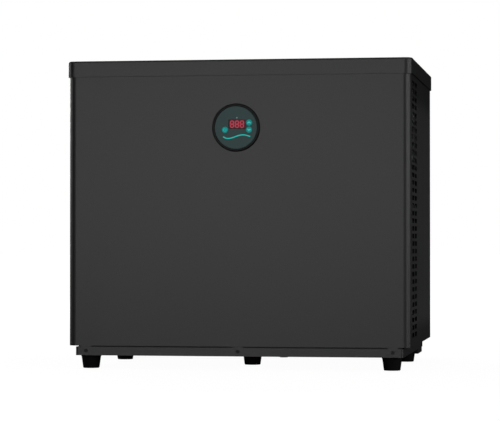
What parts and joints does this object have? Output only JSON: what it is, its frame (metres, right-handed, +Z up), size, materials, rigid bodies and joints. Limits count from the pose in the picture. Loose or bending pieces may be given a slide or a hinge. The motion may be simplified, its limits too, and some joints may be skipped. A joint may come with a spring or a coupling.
{
  "type": "pool heat pump unit",
  "caption": "Box-shaped pool heat pump in dark sheet steel with a round front controller, slotted sides, rear fan outlet and water unions.",
  "frame": {"origin": "on the floor under the feet, at the middle of the overall box", "axes": "+X to the right seen from the front, +Y to the back where the fan outlet and water unions are, +Z up"},
  "size_m": [0.8, 0.6718, 0.7098],
  "materials": {
    "case_steel": "dark grey fine-texture powder coat",
    "base_steel": "dark grey fine-texture powder coat",
    "seal_rubber": "matt black foam rubber",
    "foot_rubber": "black moulded rubber",
    "zinc_steel": "zinc plated",
    "black_plastic": "black moulded plastic",
    "black_screw": "black oxide",
    "bezel_plastic": "satin black",
    "lens_plastic": "dark smoked, glossy",
    "circuit_board": "green solder mask",
    "display_red": "red lit segments",
    "button_teal": "teal translucent",
    "galvanised_steel": "galvanised",
    "coil_aluminium": "blue hydrophilic coated aluminium",
    "copper": null,
    "fan_plastic": "black glass-filled plastic",
    "motor_steel": "dark painted",
    "guard_wire": "black coated wire",
    "compressor_steel": "semi-gloss black paint",
    "exchanger_plastic": "dark grey PVC",
    "titanium": "titanium tube",
    "union_plastic": "dark grey PVC",
    "brass": "machined brass",
    "terminal_plastic": "pale thermoplastic"
  },
  "bodies": {
    "cabinet": {"top_lid": "case_steel", "front_panel": "case_steel", "left_side_panel": "case_steel", "right_side_panel": "case_steel", "rear_panel": "case_steel", "base_pan": "base_steel", "base_gasket": "seal_rubber", "rear_cross_rail": "base_steel", "foot_front_left": "foot_rubber", "foot_front_right": "foot_rubber", "foot_rear_left": "foot_rubber", "foot_rear_right": "foot_rubber", "foot_centre": "foot_rubber", "foot_bolts": "zinc_steel", "drain_spout": "black_plastic", "base_rail_screws": "black_screw", "lid_screws": "black_screw", "rear_panel_screws": "black_screw", "controller_bezel": "bezel_plastic", "controller_gasket": "seal_rubber", "controller_lens": "lens_plastic", "controller_housing": "black_plastic", "controller_board": "circuit_board", "digit_display": "display_red", "partition_plate": "galvanised_steel", "evaporator_fins": "coil_aluminium", "evaporator_end_plates": "galvanised_steel", "evaporator_tubes": "copper", "evaporator_header": "copper", "liquid_distributor": "copper", "fan_motor": "motor_steel", "motor_bracket": "galvanised_steel", "fan_shroud": "black_plastic", "fan_guard": "guard_wire", "compressor": "compressor_steel", "compressor_grommets": "foot_rubber", "compressor_bolts": "zinc_steel", "compressor_accumulator": "compressor_steel", "compressor_terminal_cover": "black_plastic", "exchanger_shell": "exchanger_plastic", "exchanger_coil": "titanium", "water_inlet_union": "union_plastic", "water_outlet_union": "union_plastic", "union_nuts": "union_plastic", "four_way_valve": "brass", "expansion_valve": "brass", "filter_drier": "copper", "gas_pipes": "copper", "liquid_pipes": "copper", "electric_box": "galvanised_steel", "electric_box_cover": "galvanised_steel", "main_board": "circuit_board", "terminal_block": "terminal_plastic", "cable_glands": "black_plastic"},
    "fan": {"fan_blades": "fan_plastic", "fan_nut": "zinc_steel", "motor_shaft": "zinc_steel"},
    "power_button": {"power_button": "button_teal"},
    "up_button": {"up_button": "button_teal"},
    "down_button": {"down_button": "button_teal"}
  },
  "joints": [
    {"name": "fan_spin", "type": "hinge", "parent": "cabinet", "child": "fan", "pos_m": [-0.105, 0.1962, 0.375], "axis": [0, 1, 0], "continuous": true},
    {"name": "power_button_press", "type": "slide", "parent": "cabinet", "child": "power_button", "axis": [0, 1, 0], "range_m": [0, 0.001], "stiffness_N_per_m": 400, "springref_m": -0.0005},
    {"name": "up_button_press", "type": "slide", "parent": "cabinet", "child": "up_button", "axis": [0, 1, 0], "range_m": [0, 0.001], "stiffness_N_per_m": 400, "springref_m": -0.0005},
    {"name": "down_button_press", "type": "slide", "parent": "cabinet", "child": "down_button", "axis": [0, 1, 0], "range_m": [0, 0.001], "stiffness_N_per_m": 400, "springref_m": -0.0005}
  ]
}
